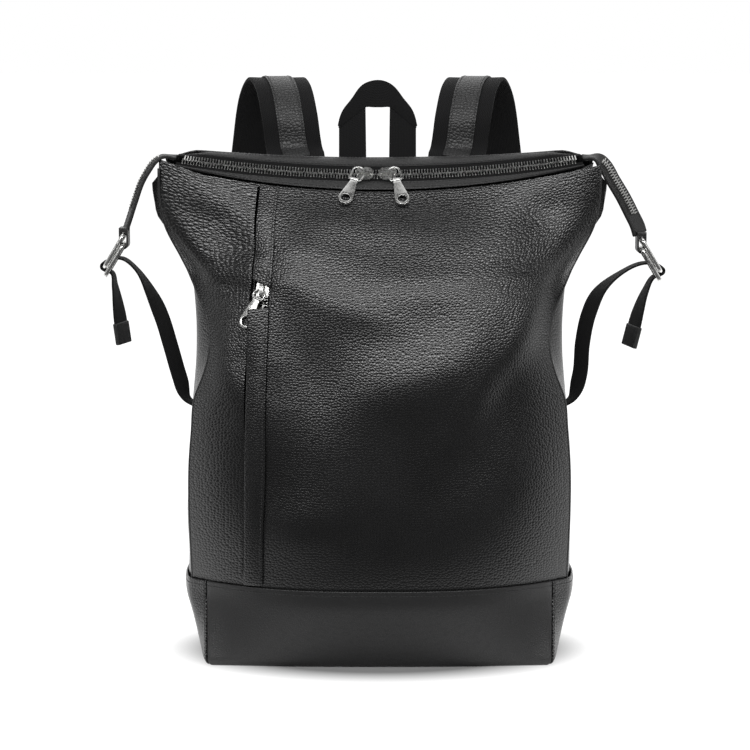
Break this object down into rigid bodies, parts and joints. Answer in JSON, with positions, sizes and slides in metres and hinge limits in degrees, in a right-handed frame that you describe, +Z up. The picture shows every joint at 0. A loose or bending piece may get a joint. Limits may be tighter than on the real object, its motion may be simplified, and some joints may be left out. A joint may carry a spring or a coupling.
{
  "type": "leather backpack",
  "caption": "Tall soft leather backpack with a wide zipped mouth that folds down at the sides, a slanting front zip pocket, webbing straps, ring buckles and a carry handle.",
  "frame": {"origin": "centre of the flat base, on the ground", "axes": "+Z up, +X to the right as the front is seen, +Y to the side with the shoulder straps"},
  "size_m": [0.5022, 0.2344, 0.5174],
  "materials": {
    "pebbled_leather": "pebbled",
    "smooth_leather": "smooth, semi-matt",
    "webbing": "woven",
    "zip_tape": "woven",
    "nickel": "polished nickel",
    "lining": "matt"
  },
  "bodies": {
    "bag": {"front_panel": "pebbled_leather", "back_panel": "pebbled_leather", "base_front": "smooth_leather", "base_back": "smooth_leather", "base_left": "smooth_leather", "base_right": "smooth_leather", "base_bottom": "smooth_leather", "base_board": "lining", "main_lining": "lining", "zip_tape_front": "zip_tape", "zip_tape_back": "zip_tape", "zip_teeth_front": "nickel", "zip_teeth_back": "nickel", "zip_facing_front": "smooth_leather", "zip_facing_back": "smooth_leather", "pocket_tape_left": "zip_tape", "pocket_teeth_left": "nickel", "pocket_tape_right": "zip_tape", "pocket_teeth_right": "nickel", "placket_upper": "pebbled_leather", "placket_lower": "pebbled_leather", "pocket_bag": "lining", "handle_root": "webbing", "strap_yoke": "smooth_leather", "gusset_left": "pebbled_leather", "zip_tail_left": "smooth_leather", "tail_teeth_left": "nickel", "tail_loop_left": "smooth_leather", "side_strap_left": "webbing", "strap_tip_left": "smooth_leather", "shoulder_strap_left": "webbing", "strap_leather_left": "pebbled_leather", "linking_ring_left": "nickel", "lower_tab_left": "smooth_leather", "lower_strap_left": "webbing", "gusset_right": "pebbled_leather", "zip_tail_right": "smooth_leather", "tail_teeth_right": "nickel", "tail_loop_right": "smooth_leather", "side_strap_right": "webbing", "strap_tip_right": "smooth_leather", "shoulder_strap_right": "webbing", "strap_leather_right": "pebbled_leather", "linking_ring_right": "nickel", "lower_tab_right": "smooth_leather", "lower_strap_right": "webbing"},
    "main_slider_left": {"main_slider_left": "nickel"},
    "main_link_left": {"main_link_left": "nickel"},
    "main_pull_left": {"main_pull_left": "nickel"},
    "main_slider_right": {"main_slider_right": "nickel"},
    "main_link_right": {"main_link_right": "nickel"},
    "main_pull_right": {"main_pull_right": "nickel"},
    "pocket_slider": {"pocket_slider": "nickel"},
    "pocket_link": {"pocket_link": "nickel"},
    "pocket_pull": {"pocket_pull": "nickel"},
    "carry_handle": {"carry_handle": "webbing"},
    "ring_upper_left": {"ring_upper_left": "nickel"},
    "ring_lower_left": {"ring_lower_left": "nickel"},
    "ring_upper_right": {"ring_upper_right": "nickel"},
    "ring_lower_right": {"ring_lower_right": "nickel"}
  },
  "joints": [
    {"name": "main_zip_left", "type": "hinge", "parent": "bag", "child": "main_slider_left", "pos_m": [0, 0.56172, 1.1894], "axis": [0, -0.7986, 0.6018], "range_deg": [-7.8, 0]},
    {"name": "main_link_swing_left", "type": "hinge", "parent": "main_slider_left", "child": "main_link_left", "pos_m": [-0.0189, -0.01309, 0.43324], "axis": [0, -0.7986, 0.6018], "range_deg": [-12, 20]},
    {"name": "main_pull_lift_left", "type": "hinge", "parent": "main_link_left", "child": "main_pull_left", "pos_m": [-0.02195, -0.01793, 0.42682], "axis": [0.9348, -0.2137, -0.2836], "range_deg": [-104, 0]},
    {"name": "main_zip_right", "type": "hinge", "parent": "bag", "child": "main_slider_right", "pos_m": [0, 0.56172, 1.1894], "axis": [0, -0.7986, 0.6018], "range_deg": [0, 8.17]},
    {"name": "main_link_swing_right", "type": "hinge", "parent": "main_slider_right", "child": "main_link_right", "pos_m": [0.0129, -0.01315, 0.43316], "axis": [0, -0.7986, 0.6018], "range_deg": [-13, 12]},
    {"name": "main_pull_lift_right", "type": "hinge", "parent": "main_link_right", "child": "main_pull_right", "pos_m": [0.0149, -0.01819, 0.42648], "axis": [0.9726, 0.1398, 0.1855], "range_deg": [-104, 0]},
    {"name": "pocket_zip", "type": "hinge", "parent": "bag", "child": "pocket_slider", "pos_m": [-0.10813, 0.46551, 0.17167], "axis": [-0.9994, 0, 0.0349], "range_deg": [-23, 0], "deforming": ["placket_lower"]},
    {"name": "pocket_link_lift", "type": "hinge", "parent": "pocket_slider", "child": "pocket_link", "pos_m": [-0.10257, -0.05521, 0.33306], "axis": [0.8342, -0.437, -0.3363], "range_deg": [-70, 0], "deforming": ["placket_lower"]},
    {"name": "pocket_pull_lift", "type": "hinge", "parent": "pocket_link", "child": "pocket_pull", "pos_m": [-0.10678, -0.05784, 0.32603], "axis": [0.8342, -0.437, -0.3363], "range_deg": [-100, 0], "deforming": ["placket_lower"]},
    {"name": "handle_fold", "type": "hinge", "parent": "bag", "child": "carry_handle", "pos_m": [0, 0.0285, 0.4275], "axis": [1, 0, 0], "range_deg": [-70, 10]},
    {"name": "ring_upper_swing_left", "type": "hinge", "parent": "bag", "child": "ring_upper_left", "pos_m": [-0.2278, 0.004, 0.37675], "axis": [0, 1, 0], "range_deg": [-5, 12], "deforming": ["side_strap_left"]},
    {"name": "ring_lower_swing_left", "type": "hinge", "parent": "bag", "child": "ring_lower_left", "pos_m": [-0.2278, 0.004, 0.36825], "axis": [0, 1, 0], "range_deg": [-5, 12], "deforming": ["side_strap_left"]},
    {"name": "ring_upper_swing_right", "type": "hinge", "parent": "bag", "child": "ring_upper_right", "pos_m": [0.2335, 0.004, 0.37275], "axis": [0, 1, 0], "range_deg": [-12, 5], "deforming": ["side_strap_right"]},
    {"name": "ring_lower_swing_right", "type": "hinge", "parent": "bag", "child": "ring_lower_right", "pos_m": [0.2335, 0.004, 0.36425], "axis": [0, 1, 0], "range_deg": [-12, 5], "deforming": ["side_strap_right"]}
  ],
  "couplings": [
    {"joint": "ring_lower_swing_left", "follows": "ring_upper_swing_left", "ratio": 1},
    {"joint": "ring_lower_swing_right", "follows": "ring_upper_swing_right", "ratio": 1}
  ]
}
